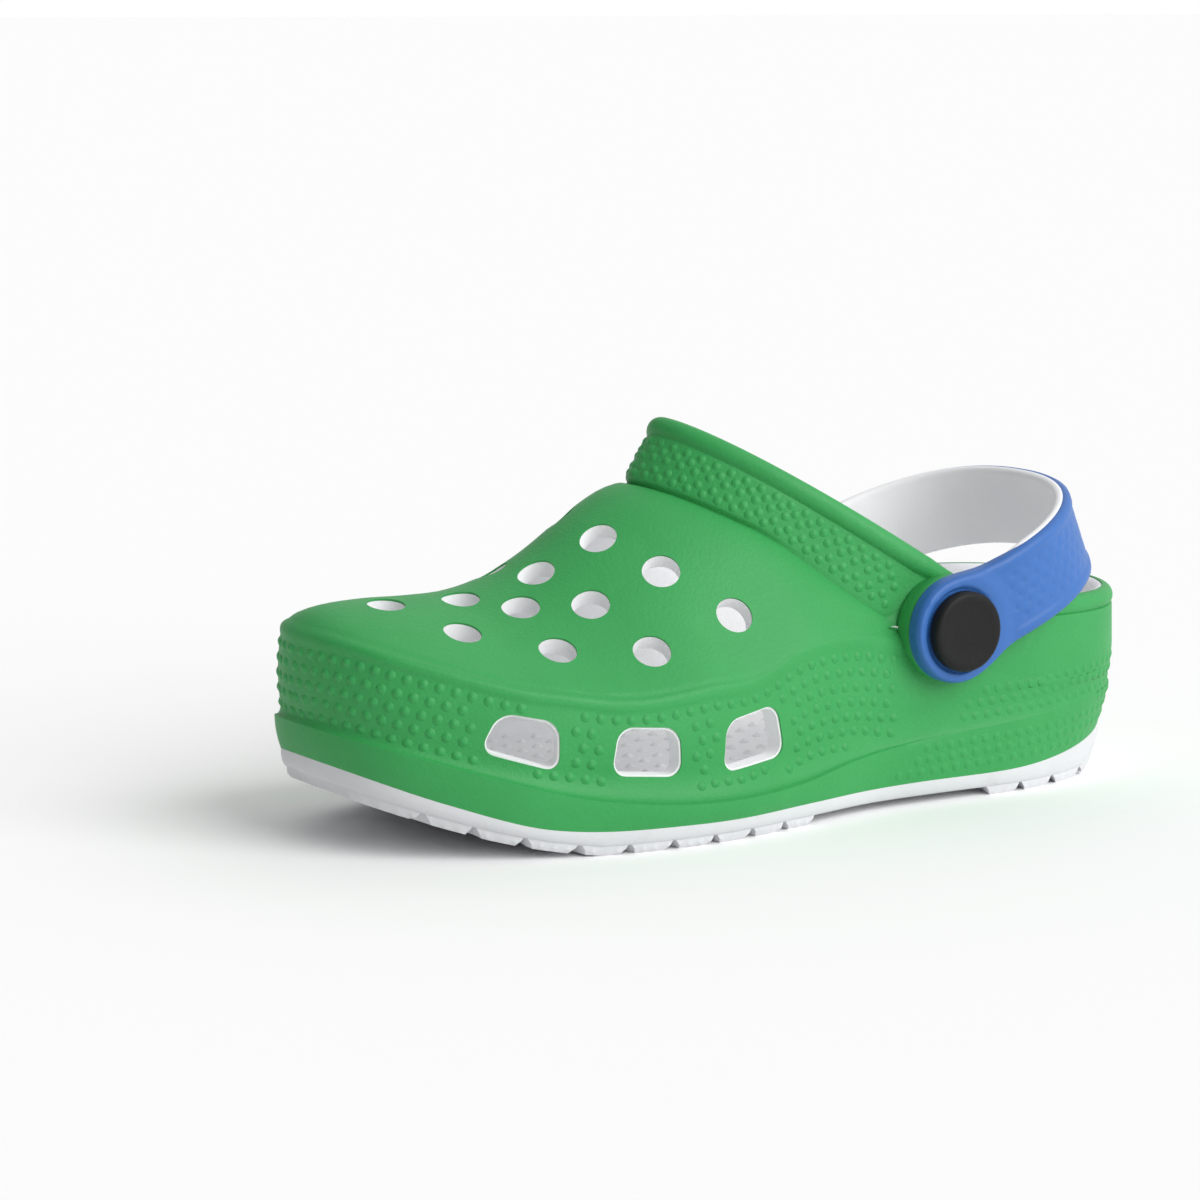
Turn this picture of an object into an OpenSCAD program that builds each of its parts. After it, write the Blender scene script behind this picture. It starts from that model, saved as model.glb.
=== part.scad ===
// Child's garden clog, left foot, with a heel strap that swings on two snap rivets.
// Millimetres. Toe towards -Y, heel towards +Y, little-toe (lateral) side towards +X,
// ground at Z = 0. The right clog is this one mirrored in X.

/* [Sole] */
// Length of the clog from toe to heel
clog_length = 196; // [190:1:202]
// Thickness of the moulded outer layer of the upper
skin_thickness = 1; // [0.8:0.1:1.4]
// Depth from the outer surface to the foot cavity
wall_depth = 4; // [3.6:0.1:4.4]
// Length of one tread bar along the sole
tread_bar = 7.6; // [6:0.2:8]
// Distance from one tread bar to the next
tread_pitch = 9.6; // [9:0.1:11]

/* [Vents] */
// Diameter of the round holes in the vamp
vamp_hole_d = 7.8; // [6:0.1:8.5]
// Height of the side vents
vent_height = 9.8; // [7:0.1:10]

/* [Strap] */
// Height of the strap pivot above the ground
pivot_height = 37.5; // [36:0.5:39]
// Distance from the pivot to the back of the strap
strap_reach = 51; // [50:0.5:53]
// Width of the strap band
strap_width = 18.8; // [16:0.2:20]
// Thickness of the white inner layer of the strap
strap_core_t = 2.2; // [1.8:0.1:2.6]
// Thickness of the coloured outer layer of the strap
strap_cover_t = 1; // [0.8:0.1:1.2]
// Slope of the strap at rest, up towards the heel
strap_slope = 22; // [20:1:23]

/* [Rivets] */
// Diameter of the rivet's outer cap
cap_d = 16; // [14:0.5:18]
// Thickness of the rivet's outer cap
cap_t = 3; // [2:0.1:3.4]
// Diameter of the rivet's post, on which the strap turns
post_d = 6; // [5:0.1:7]
// Diameter of the disc that closes the rivet inside the clog
back_d = 13; // [11:0.5:15]

/* [Hidden] */
green = [0.26, 0.69, 0.39];
blue = [0.25, 0.47, 0.82];
white = [0.94, 0.94, 0.94];
black = [0.05, 0.05, 0.05];

stations = 60;                  // points round the outline, one every 6 degrees
half = clog_length / 2;
box_shift = -1.566;             // brings the widest points of both sides to the same distance from X = 0
$fn = 48;

// Outline: x = spine + sin(angle) * side factor, y = -half * cos(angle)
lateral_side = [[-98, 64], [-82, 55], [-64, 51.4], [-42, 48.6], [-20, 45], [0, 39.7],
    [20, 35.9], [40, 37.4], [60, 42.5], [78, 47], [98, 53]];
medial_side = [[-98, 47], [-80, 46.6], [-62, 43], [-42, 39.1], [-20, 33.5], [0, 29.3],
    [20, 28.3], [40, 30.9], [60, 36.8], [78, 43.9], [98, 54]];
// Height of the line between the sole and the upper, of the flared ledge above it,
// and how far the wall above the ledge is set in
sole_line = [[-98, 18.8], [-80, 11.8], [-60, 6.1], [-30, 4.8], [0, 4.9], [30, 5.1], [60, 5.6],
    [85, 9.1], [98, 13.8]];
ledge_line = [[-98, 25.5], [-84, 21], [-70, 16.4], [-53, 11.8], [-29, 9], [-4, 9.5], [12, 12],
    [30, 14], [98, 19]];
wall_inset = [[-98, 1.2], [-70, 2], [-50, 3], [-28, 3.2], [-4, 2.8], [15, 1.6], [32, 0.8], [98, 0.8]];
fillet_rise = [[-98, 2], [-70, 3.5], [-50, 5], [-20, 6], [10, 6], [98, 6]];
// Vamp: height of the ridge, drop from the ridge to the side, and roundness of that drop
ridge_line = [[-98, 41.8], [-95, 45.2], [-90, 47.4], [-80, 48.2], [-70, 48], [-60, 48.2], [-50, 50.2],
    [-40, 54.2], [-30, 60], [-20, 66], [-12, 69.2], [-4, 69.4], [4, 67.5], [12, 64.6], [28, 58], [60, 45]];
side_drop = [[-98, 19], [-60, 20], [-45, 25], [-28, 33], [-12, 42], [4, 41], [28, 38], [60, 30]];
drop_power = [[-98, 1.5], [-28, 1.47], [-12, 1.8], [4, 2.3], [60, 2.4]];
ridge_x = -5;
drop_span = 45;
medial_narrowing = 1.32;        // the medial flank falls this much faster
ridge_round = 0.14;
// Foot opening
collar_y = 38;
collar_groove_y = 29.5;
collar_half = [36, 24.5];       // lateral and medial half widths of the collar's rim
groove_half = [33.8, 23.6];
collar_run = 47;
groove_run = 46.8;
collar_power = 1.75;
rim_height = 40;                // lowest height of the rim, round the heel
rim_rise = 74.2;                // height of the rim's sloping line at Y = 0
rim_fall = 0.69;                // how fast that line falls towards the heel
rim_round = 8;
rim_centre = [-3, 42];
heel_start = 20;                // the heel's rim takes over from the arch between these two
heel_full = 48;
heel_wall_drop = 14;            // from the heel's rim down to the top of its upright wall
lip_drop = 1.3;                 // from the vamp down to the top of the side wall
collar_lift = 0.8;              // how far the collar's band stands out
// Footbed and sole
footbed_line = [[-98, 24], [-85, 19], [-70, 15], [-50, 12.4], [-20, 12], [10, 13], [40, 14],
    [70, 14.5], [98, 18]];
tread_line = [[-98, 14.2], [-90, 10.6], [-80, 7], [-70, 3.9], [-60, 1.6], [-50, 0], [-49, 0], [79, 0],
    [80, 0], [90, 4], [98, 9.2]];
slab_t = 2.6;
tread_zones = [[-93, 6], [50, 93]];
sole_edge_inset = 1.2;          // how far the upper's lower edge is set in from the outline
sole_foot_inset = 2.6;
tread_inset = 3.2;
tread_sink = 0.4;               // how far the tread reaches into the slab

// Vamp holes: plan positions
vamp_holes = [[5, -31], [2.5, -44.5], [1, -61.5], [9.5, -52.5], [16, -40], [18, -24.5], [29, -14],
    [29.5, -34], [23, -52], [14, -68.5], [0, -78], [-9, -48.5], [-10, -30], [-13, -65.5]];
// Side vents: distance along Y, height of the middle, width, turn of the cut about Z
vents = [[-66.3, 23.9, 14.8, -20], [-40.4, 19.6, 15.2, -5], [-14.1, 20.2, 14, 8]];
medial_vents = [[-65, 24.5, 14.4, 22], [-41, 21, 14.8, 8], [-14.5, 21, 13.6, -10]];
vent_r = 2.6;                   // radius of the vents' corners
vent_taper = 0.8;               // how much narrower the vents are at the top
hole_above = 5;                 // reach of the hole cutters above and below the surface
hole_below = 9;

pivot_y = 37;
boss_r = 11.5;
lateral_face = 34;              // plane of the flat pad that the strap turns on
medial_face = -31;
pad_depth = 2.6;                // how far each pad reaches into the wall
turn_gap = 0.15;                // clearance on each side of the strap's lobes
bore_gap = 0.05;                // radial clearance of the strap on the rivet's post
strap_t = strap_core_t + strap_cover_t;
leg_lateral = lateral_face + turn_gap;
leg_medial = medial_face - turn_gap;
leg_straight = 16;
strap_power = 2.3;
post_r = post_d / 2;
tip_r = post_r - 0.8;           // radius of the post's tip, inside the back disc
cap_edge = 1.2;                 // rounding of the cap's edge
back_t = 1.6;
back_seat = 1.2;                // length of the post's tip inside the back disc
wall_inner_gap = 7.6;           // from the pad's face to the back disc
cover_trim = 0.3;               // how much narrower the strap's cover is than its core

function clamp(v, low, high) = max(low, min(high, v));
function mix(a, b, t) = a + (b - a) * t;
function ease(low, high, v) = let (t = clamp((v - low) / (high - low), 0, 1)) t * t * (3 - 2 * t);
function unit(v) = v / norm(v);

// Smooth curve through a table of [position, value] pairs
function span_of(table, v, k = 0) =
    k >= len(table) - 2 || v <= table[k + 1][0] ? k : span_of(table, v, k + 1);
function rise(table, a, b) = (table[b][1] - table[a][1]) / (table[b][0] - table[a][0]);
function slope(table, k) = rise(table, max(k - 1, 0), min(k + 1, len(table) - 1));
function at(table, v) =
    let (c = clamp(v, table[0][0], table[len(table) - 1][0]),
         k = span_of(table, c),
         h = table[k + 1][0] - table[k][0],
         u = (c - table[k][0]) / h,
         bend = u * u * (3 - 2 * u))
    mix(table[k][1], table[k + 1][1], bend)
        + h * u * (1 - u) * ((1 - u) * slope(table, k) - u * slope(table, k + 1));

function spine_x(y) = -2.25 + 0.023 * y;
function outline_y(angle) = -half * cos(angle);
function outline_point(angle) =
    let (y = outline_y(angle), side = sin(angle) >= 0 ? lateral_side : medial_side)
    [spine_x(y) + sin(angle) * at(side, y), y];
function centre_point(p) = let (y = clamp(p.y, -58, 62)) [spine_x(y), y];
function inward(p) = unit(centre_point(p) - p);

// Height of the vamp over a point in plan, and its steepness there
function vamp_z(p) =
    let (d = (p.x - ridge_x) * (p.x > ridge_x ? 1 : -medial_narrowing) / drop_span,
         n = at(drop_power, p.y))
    at(ridge_line, p.y)
        - at(side_drop, p.y) * (pow(d * d + ridge_round * ridge_round, n / 2) - pow(ridge_round, n));
function vamp_slope(p) =
    [vamp_z(p + [0.5, 0]) - vamp_z(p - [0.5, 0]), vamp_z(p + [0, 0.5]) - vamp_z(p - [0, 0.5])];
function vamp_normal(p) = let (g = vamp_slope(p)) unit([-g.x, -g.y, 1]);
function vamp_steep(p) = norm(concat(vamp_slope(p), 1));

// Curves of the foot opening: a blunt arch over the instep, then the heel's rim
function arch(angle, y0, run) =
    let (turn = clamp(90 * angle / acos(-collar_y / half), 0, 90), e = 2 / collar_power)
    [pow(sin(turn), e), y0 - run * pow(cos(turn), e), 0];
function opening(angle, y0, halves, run) =
    let (a = angle <= 180 ? angle : 360 - angle, c = arch(a, y0, run))
    [ridge_x + c.x * (angle <= 180 ? halves[0] : -halves[1]), c.y];
function rim_z(y) =
    let (t = rim_rise - rim_fall * y - rim_height) rim_height + (t + sqrt(t * t + rim_round * rim_round)) / 2;
function heelness(y) = ease(heel_start, heel_full, y);
// Direction from a rim point into the wall's thickness
function rim_inward(p) =
    let (c = unit(rim_centre - p)) c.y > 0 ? [c.x, 0.8 * c.y, -0.6 * c.y] : [c.x, c.y, 0];

// One point of the wall's layer at a depth below the outer surface, for each row
function lower_row(angle, depth, inset, z) =
    let (p = outline_point(angle), q = p + inward(p) * (inset + depth)) [q.x, q.y, z];
function cavity(depth) = depth > 2 ? 1 : 0;
function wall_rows(angle, depth) =
    let (p = outline_point(angle), y = p.y, base = at(sole_line, y), ledge = at(ledge_line, y),
         set_in = at(wall_inset, y), low = ledge + at(fillet_rise, y),
         corner = p + inward(p) * (set_in + depth), h = heelness(y),
         top = mix(vamp_z(corner) - lip_drop - depth * vamp_steep(corner), rim_z(y) - heel_wall_drop, h),
         inside = cavity(depth) * set_in)
    [lower_row(angle, depth, mix(sole_edge_inset, set_in, cavity(depth)), base),
     lower_row(angle, depth, mix(0.3, set_in, cavity(depth)), mix(base, ledge, 0.5)),
     lower_row(angle, depth, inside, ledge),
     lower_row(angle, depth, mix(0.7 * set_in, set_in, cavity(depth)), mix(ledge, low, 0.4)),
     lower_row(angle, depth, set_in, min(low, top - 4)),
     lower_row(angle, depth, set_in, top)];
function groove_point(angle, depth) =
    let (p = outline_point(angle), h = heelness(p.y),
         g = opening(angle, collar_groove_y, groove_half, groove_run),
         q = p + inward(p) * 1,
         m = mix([g.x, g.y, vamp_z(g)], [q.x, q.y, rim_z(p.y) - 4.5], h))
    m + rim_inward(m) * depth;
function rim_point(angle, depth) =
    let (p = outline_point(angle), h = heelness(p.y),
         r = opening(angle, collar_y, collar_half, collar_run),
         q = p + inward(p) * 1.8,
         m = mix([r.x, r.y, rim_z(r.y)], [q.x, q.y, rim_z(p.y)], h))
    m + rim_inward(m) * depth;
dome_steps = [0.06, 0.2, 0.36, 0.52, 0.68, 0.84];
function dome_rows(angle, depth) =
    let (p = outline_point(angle), h = heelness(p.y), corner = p + inward(p) * (at(wall_inset, p.y) + depth),
         g = groove_point(angle, depth), low = rim_z(p.y) - heel_wall_drop)
    [for (v = dome_steps)
        let (q = mix(corner, [g.x, g.y], v))
        [q.x, q.y, mix(mix(vamp_z(q) - depth * vamp_steep(q), g.z, pow(v, 6)), mix(low, g.z, v), h)]];
function collar_rows(angle, depth) =
    let (g = groove_point(angle, depth), r = rim_point(angle, depth),
         out = -collar_lift * rim_inward(r) * (1 - cavity(depth)),
         drop = depth > 0 ? [0, 0, -skin_thickness] : [0, 0, 0])
    [g, mix(g, r, 0.14) + out, mix(g, r, 0.62) + out, r + drop];
function layer(depth) =
    [for (k = [0 : stations - 1])
        let (angle = 360 * k / stations)
        concat(wall_rows(angle, depth), dome_rows(angle, depth), collar_rows(angle, depth))];
row_count = 6 + len(dome_steps) + 4;
function ring(sheet, row) = [for (s = sheet) s[row]];
function up_rings(sheet) = [for (row = [0 : row_count - 1]) ring(sheet, row)];
function reversed(list) = [for (k = [len(list) - 1 : -1 : 0]) list[k]];

// Faces between two neighbouring rings. Each square is cut from its lower left corner when the
// rings climb, and the same way when they come down, so two touching layers share their triangles.
function band_faces(low, high, climbing) =
    [for (k = [0 : stations - 1])
        let (n = (k + 1) % stations, a = low * stations + k, b = low * stations + n,
             c = high * stations + n, d = high * stations + k)
        each (climbing ? [[a, c, b], [a, d, c]] : [[a, d, b], [b, d, c]])];
// Closes a ring across the sole, from side to side
function lid_faces(row, up) =
    let (s = row * stations, m = stations / 2)
    concat(
        [up ? [s, s + stations - 1, s + 1] : [s, s + 1, s + stations - 1]],
        [for (k = [1 : m - 2])
            let (a = s + k, b = s + k + 1, c = s + stations - k - 1, d = s + stations - k)
            each (up ? [[a, d, c], [a, c, b]] : [[a, c, d], [a, b, c]])],
        [up ? [s + m - 1, s + m + 1, s + m] : [s + m - 1, s + m, s + m + 1]]);
function flat(lists) = [for (l = lists) each l];

// A hollow loop of rings: up one layer and down the other
module loop_of(outer, inner) {
    up = up_rings(outer);
    down = reversed(up_rings(inner));
    count = 2 * row_count;
    polyhedron(
        points = flat(concat(up, down)),
        faces = flat([for (r = [0 : count - 1]) band_faces(r, (r + 1) % count, r < row_count)]),
        convexity = 10);
}
// A stack of rings closed at both ends; rings named in turned come down inside the stack
module stack_of(rings, turned = []) {
    count = len(rings);
    polyhedron(
        points = flat(rings),
        faces = concat(
            lid_faces(0, false),
            flat([for (r = [0 : count - 2]) band_faces(r, r + 1, len(search(r, turned)) == 0)]),
            lid_faces(count - 1, true)),
        convexity = 10);
}

function toward_middle(points, amount) =
    [for (q = points) let (c = centre_point([q.x, q.y])) [mix(q.x, c.x, amount), mix(q.y, c.y, amount), q.z]];
function with_z(points, table, add) = [for (q = points) [q.x, q.y, at(table, q.y) + add]];

outer_layer = layer(0);
skin_layer = layer(skin_thickness);
cavity_layer = layer(wall_depth);
base_edge = ring(outer_layer, 0);
base_skin = ring(skin_layer, 0);
base_cavity = ring(cavity_layer, 0);
base_middle = with_z(toward_middle(base_cavity, 0.5), sole_line, 0);

// Cutters
module vamp_hole_cuts() {
    for (p = vamp_holes) {
        n = vamp_normal(p);
        translate([p.x, p.y, vamp_z(p)])
            rotate([0, acos(n.z), atan2(n.y, n.x)])
                translate([0, 0, -hole_below]) cylinder(d = vamp_hole_d, h = hole_above + hole_below);
    }
}
function vent_corner(x, y, turn) =
    [for (a = [0 : 22.5 : 90]) [x + vent_r * cos(turn + a), y + vent_r * sin(turn + a)]];
function vent_outline(w, h) =
    concat(vent_corner(w / 2 - vent_r - vent_taper, h / 2 - vent_r, 0),
        vent_corner(vent_r - w / 2, h / 2 - vent_r, 90),
        vent_corner(vent_r - w / 2, vent_r - h / 2, 180), vent_corner(w / 2 - vent_r, vent_r - h / 2, 270));
module vent_cut(v, side) {
    edge = outline_point(side > 0 ? acos(-v[0] / half) : 360 - acos(-v[0] / half));
    translate([edge.x, edge.y, v[1]])
        rotate([90, 0, 90 + v[3]])
            translate([0, 0, -10]) linear_extrude(20) polygon(vent_outline(v[2], vent_height));
}
module vent_cuts() {
    for (v = vents) vent_cut(v, 1);
    for (v = medial_vents) vent_cut(v, -1);
}
module along_x(x, r, length) {
    translate([x, pivot_y, pivot_height]) rotate([0, 90, 0]) cylinder(r = r, h = length);
}
module post_bores(r) {
    along_x(lateral_face - 12, r, 14);
    along_x(medial_face - 2, r, 14);
}

module outer_skin() {
    color(green) translate([box_shift, 0, 0]) difference() {
        union() {
            loop_of(outer_layer, skin_layer);
            along_x(lateral_face - pad_depth, boss_r, pad_depth);
            along_x(medial_face, boss_r, pad_depth);
        }
        vamp_hole_cuts();
        vent_cuts();
        post_bores(post_r);
    }
}
module inner_shell() {
    color(white) translate([box_shift, 0, 0]) difference() {
        loop_of(skin_layer, cavity_layer);
        vamp_hole_cuts();
        vent_cuts();
        along_x(lateral_face - pad_depth, boss_r, 6);
        along_x(medial_face + pad_depth - 6, boss_r, 6);
        post_bores(post_r);
    }
}
module footbed() {
    edge = with_z(base_cavity, footbed_line, 2);
    color(white) translate([box_shift, 0, 0])
        stack_of([base_middle, base_cavity, edge,
            with_z(toward_middle(edge, 0.16), footbed_line, 0.5),
            with_z(toward_middle(edge, 0.5), footbed_line, 0)], [0]);
}
module outsole() {
    foot = with_z([for (k = [0 : stations - 1]) lower_row(360 * k / stations, 0, sole_foot_inset, 0)],
        sole_line, -slab_t);
    tread = [for (k = [0 : stations - 1]) lower_row(360 * k / stations, 0, tread_inset, 0)];
    color(white) translate([box_shift, 0, 0]) union() {
        stack_of([with_z(toward_middle(foot, 0.5), sole_line, -slab_t), foot,
            [for (k = [0 : stations - 1]) lower_row(360 * k / stations, 0, 1.5, base_edge[k].z - 1.2)],
            base_edge, base_skin, base_cavity, base_middle]);
        intersection() {
            stack_of([with_z(toward_middle(tread, 0.5), tread_line, 0), with_z(tread, tread_line, 0),
                with_z(tread, sole_line, tread_sink - slab_t),
                with_z(toward_middle(tread, 0.5), sole_line, tread_sink - slab_t)]);
            for (zone = tread_zones, y = [zone[0] : tread_pitch : zone[1] - tread_bar])
                translate([-60, y, -1]) cube([120, tread_bar, 30]);
        }
    }
}

// Strap: a band that runs out from each pivot and round behind the heel
function strap_mid(angle) =
    let (e = 2 / strap_power, wide = (leg_lateral - leg_medial) / 2 + strap_t / 2)
    [(leg_lateral + leg_medial) / 2 + wide * sign(cos(angle)) * pow(abs(cos(angle)), e),
     leg_straight + (strap_reach - leg_straight) * pow(max(sin(angle), 0), e)];
strap_line = concat([[leg_lateral + strap_t / 2, 5]], [for (a = [0 : 7.5 : 180]) strap_mid(a)],
    [[leg_medial - strap_t / 2, 5]]);
function strap_out(k) =
    let (a = strap_line[max(k - 1, 0)], b = strap_line[min(k + 1, len(strap_line) - 1)], t = unit(b - a))
    k < 2 ? [1, 0] : k > len(strap_line) - 3 ? [-1, 0] : [t.y, -t.x];
module strap_band(inside, outside, half_width) {
    rings = [for (k = [0 : len(strap_line) - 1])
        let (p = strap_line[k], o = strap_out(k),
             a = p + o * (inside - strap_t / 2), b = p + o * (outside - strap_t / 2), w = half_width)
        each [[a.x, a.y, -w], [b.x, b.y, -w], [b.x, b.y, w], [a.x, a.y, w]]];
    last = 4 * (len(strap_line) - 1);
    polyhedron(points = rings, faces = concat(
        [[0, 2, 1], [0, 3, 2], [last, last + 1, last + 2], [last, last + 2, last + 3]],
        [for (k = [0 : len(strap_line) - 2], s = [0 : 3])
            let (a = 4 * k + s, b = 4 * k + (s + 1) % 4) each [[a, b, b + 4], [a, b + 4, a + 4]]]),
        convexity = 6);
}
module strap_layer(inside, outside, trim) {
    translate([box_shift, pivot_y, pivot_height]) rotate([strap_slope, 0, 0]) difference() {
        union() {
            strap_band(inside, outside, strap_width / 2 - trim);
            for (x = [leg_lateral + inside, leg_medial - outside])
                translate([x, 0, 0]) rotate([0, 90, 0]) cylinder(r = boss_r - trim, h = outside - inside);
        }
        for (x = [leg_lateral - 2, leg_medial - strap_t - 2])
            translate([x, 0, 0]) rotate([0, 90, 0]) cylinder(r = post_r + bore_gap, h = strap_t + 4);
    }
}
module strap_cover() {
    color(blue) strap_layer(strap_core_t, strap_t, cover_trim);
}
module strap_core() {
    color(white) strap_layer(0, strap_core_t, 0);
}

// Rivets: the button's post goes through the strap and the wall, and its tip snaps into the back disc
module rivet_button(face, side) {
    reach = strap_t + 2 * turn_gap;
    translate([box_shift + face, pivot_y, pivot_height]) rotate([0, 90 * side, 0]) {
        rotate_extrude()
            polygon(concat([[0, reach], [cap_d / 2 - 0.6, reach], [cap_d / 2, reach + 0.5]],
                [for (a = [0 : 15 : 90])
                    [cap_d / 2 - cap_edge + cap_edge * cos(a), reach + cap_t - cap_edge + cap_edge * sin(a)]],
                [[0, reach + cap_t]]));
        translate([0, 0, -wall_inner_gap]) cylinder(r = post_r, h = wall_inner_gap + reach + 0.5);
        translate([0, 0, -wall_inner_gap - back_seat]) cylinder(r = tip_r, h = back_seat + 0.5);
    }
}
module rivet_back(face, side) {
    translate([box_shift + face, pivot_y, pivot_height]) rotate([0, 90 * side, 0])
        translate([0, 0, -wall_inner_gap - back_t]) difference() {
            cylinder(d = back_d, h = back_t);
            translate([0, 0, back_t - back_seat]) cylinder(r = tip_r, h = back_seat + 1);
        }
}
module rivet_button_lateral() {
    color(black) rivet_button(lateral_face, 1);
}
module rivet_button_medial() {
    color(black) rivet_button(medial_face, -1);
}
module rivet_back_lateral() {
    color(black) rivet_back(lateral_face, 1);
}
module rivet_back_medial() {
    color(black) rivet_back(medial_face, -1);
}

outer_skin();
inner_shell();
footbed();
outsole();
strap_cover();
strap_core();
rivet_button_lateral();
rivet_button_medial();
rivet_back_lateral();
rivet_back_medial();
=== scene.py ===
import math
import bpy
import numpy as np
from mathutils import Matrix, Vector


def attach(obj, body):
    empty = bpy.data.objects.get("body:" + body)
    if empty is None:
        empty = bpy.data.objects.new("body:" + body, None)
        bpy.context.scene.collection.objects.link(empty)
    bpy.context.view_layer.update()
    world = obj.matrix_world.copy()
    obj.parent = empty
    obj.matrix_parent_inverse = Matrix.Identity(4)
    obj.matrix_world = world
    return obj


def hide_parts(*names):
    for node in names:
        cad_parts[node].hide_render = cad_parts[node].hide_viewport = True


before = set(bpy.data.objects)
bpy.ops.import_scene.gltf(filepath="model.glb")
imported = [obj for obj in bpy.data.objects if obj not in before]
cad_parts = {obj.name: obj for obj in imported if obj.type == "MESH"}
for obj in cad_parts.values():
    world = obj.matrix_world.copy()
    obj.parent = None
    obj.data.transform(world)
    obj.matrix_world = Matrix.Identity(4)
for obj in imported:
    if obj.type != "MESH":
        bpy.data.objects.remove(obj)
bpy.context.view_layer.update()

# Left garden clog. Shapes are worked out in millimetres, toe towards -Y, and moved into the
# frame when the mesh is made.
bpy.ops.object.select_all(action="DESELECT")
print("frame loaded")

mm = 0.001
stationAngles = np.arange(0, 361, 1.2)
boxShift = -1.566  # centres the clog's box on X
halfLength = 98.0
collarY = 38.0
ridge = dict(x=-5.0, span=45, medialNarrowing=1.32, softness=0.14)
# Collar openings as middle Y, half width on the lateral and medial side, and reach to the front
opening = dict(groove=(29.5, 33.8, 23.6, 46.8), rim=(38, 36, 24.5, 47))
rimCurve = dict(low=40, start=34.2, fall=0.69, bend=64)
pivot = dict(y=37.0, z=37.5, lateralFace=34.0, medialFace=-31.0, bossRadius=11.5, turnGap=0.15)

# Outline, heights and insets along the clog, as [y, value]
lateralSide = [[-98, 64], [-82, 55], [-64, 51.4], [-42, 48.6], [-20, 45], [0, 39.7],
               [20, 35.9], [40, 37.4], [60, 42.5], [78, 47], [98, 53]]
medialSide = [[-98, 47], [-80, 46.6], [-62, 43], [-42, 39.1], [-20, 33.5], [0, 29.3],
              [20, 28.3], [40, 30.9], [60, 36.8], [78, 43.9], [98, 54]]
soleLine = [[-98, 18.8], [-80, 11.8], [-60, 6.1], [-30, 4.8], [0, 4.9], [30, 5.1], [60, 5.6],
            [85, 9.1], [98, 13.8]]
ledgeLine = [[-98, 25.5], [-84, 21], [-70, 16.4], [-53, 11.8], [-29, 9], [-4, 9.5], [12, 12],
             [30, 14], [98, 19]]
wallInset = [[-98, 1.2], [-70, 2], [-50, 3], [-28, 3.2], [-4, 2.8], [15, 1.6], [32, 0.8], [98, 0.8]]
filletRise = [[-98, 2], [-70, 3.5], [-50, 5], [-20, 6], [10, 6], [98, 6]]
ridgeLine = [[-98, 41.8], [-95, 45.2], [-90, 47.4], [-80, 48.2], [-70, 48], [-60, 48.2], [-50, 50.2],
             [-40, 54.2], [-30, 60], [-20, 66], [-12, 69.2], [-4, 69.4], [4, 67.5], [12, 64.6],
             [28, 58], [60, 45]]
sideDrop = [[-98, 19], [-60, 20], [-45, 25], [-28, 33], [-12, 42], [4, 41], [28, 38], [60, 30]]
dropPower = [[-98, 1.5], [-28, 1.47], [-12, 1.8], [4, 2.3], [60, 2.4]]
footbedLine = [[-98, 24], [-85, 19], [-70, 15], [-50, 12.4], [-20, 12], [10, 13], [40, 14],
               [70, 14.5], [98, 18]]
treadLine = [[-98, 14.2], [-90, 10.6], [-80, 7], [-70, 3.9], [-60, 1.6], [-50, 0], [-49, 0], [79, 0],
             [80, 0], [90, 4], [98, 9.2]]


# Curves along the clog
def mix(a, b, t):
    return a + (b - a) * t


def ease(low, high, v):
    t = np.clip((v - low) / (high - low), 0, 1)
    return t * t * (3 - 2 * t)


def unit(v):
    return v / np.maximum(np.linalg.norm(v, axis=-1, keepdims=True), 1e-9)


def alongTable(table, v):
    xs, ys = np.array(table, float).T
    last = len(xs) - 1
    c = np.clip(v, xs[0], xs[-1])
    k = np.clip(np.searchsorted(xs, c) - 1, 0, last - 1)
    low, high, beyond = np.maximum(k - 1, 0), k + 1, np.minimum(k + 2, last)
    slopeA = (ys[high] - ys[low]) / (xs[high] - xs[low])
    slopeB = (ys[beyond] - ys[k]) / (xs[beyond] - xs[k])
    h = xs[high] - xs[k]
    u = (c - xs[k]) / h
    return mix(ys[k], ys[high], u * u * (3 - 2 * u)) + h * u * (1 - u) * ((1 - u) * slopeA - u * slopeB)


def middleX(y):
    return -2.25 + 0.023 * y


def outlinePoint(angle):
    turn = np.radians(angle)
    y = -halfLength * np.cos(turn)
    side = np.where(np.sin(turn) >= 0, alongTable(lateralSide, y), alongTable(medialSide, y))
    return np.stack([middleX(y) + np.sin(turn) * side, y], -1)


def centrePoint(p):
    y = np.clip(p[..., 1], -58, 62)
    return np.stack([middleX(y), y], -1)


def inwardFrom(p):
    return unit(centrePoint(p) - p)


def vampHeight(p):
    x, y = p[..., 0], p[..., 1]
    d = (x - ridge["x"]) * np.where(x > ridge["x"], 1, -ridge["medialNarrowing"]) / ridge["span"]
    n, soft = alongTable(dropPower, y), ridge["softness"]
    return alongTable(ridgeLine, y) - alongTable(sideDrop, y) * ((d * d + soft * soft) ** (n / 2) - soft ** n)


def vampNormal(p):
    gx = vampHeight(p + [0.5, 0]) - vampHeight(p - [0.5, 0])
    gy = vampHeight(p + [0, 0.5]) - vampHeight(p - [0, 0.5])
    return unit(np.stack([-gx, -gy, np.ones_like(gx)], -1))


def openingPoint(angle, y0, lateralHalf, medialHalf, run):
    a = np.where(angle <= 180, angle, 360 - angle)
    turn = np.radians(np.clip(90 * a / math.degrees(math.acos(-collarY / halfLength)), 0, 90))
    power = 2 / 1.75
    across = np.sin(turn) ** power
    y = y0 - run * np.maximum(np.cos(turn), 0) ** power
    return np.stack([ridge["x"] + across * np.where(angle <= 180, lateralHalf, -medialHalf), y], -1)


def rimHeight(y):
    t = rimCurve["start"] - rimCurve["fall"] * y
    return rimCurve["low"] + (t + np.sqrt(t * t + rimCurve["bend"])) / 2


def heelShare(y):
    return ease(20, 48, y)


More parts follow.
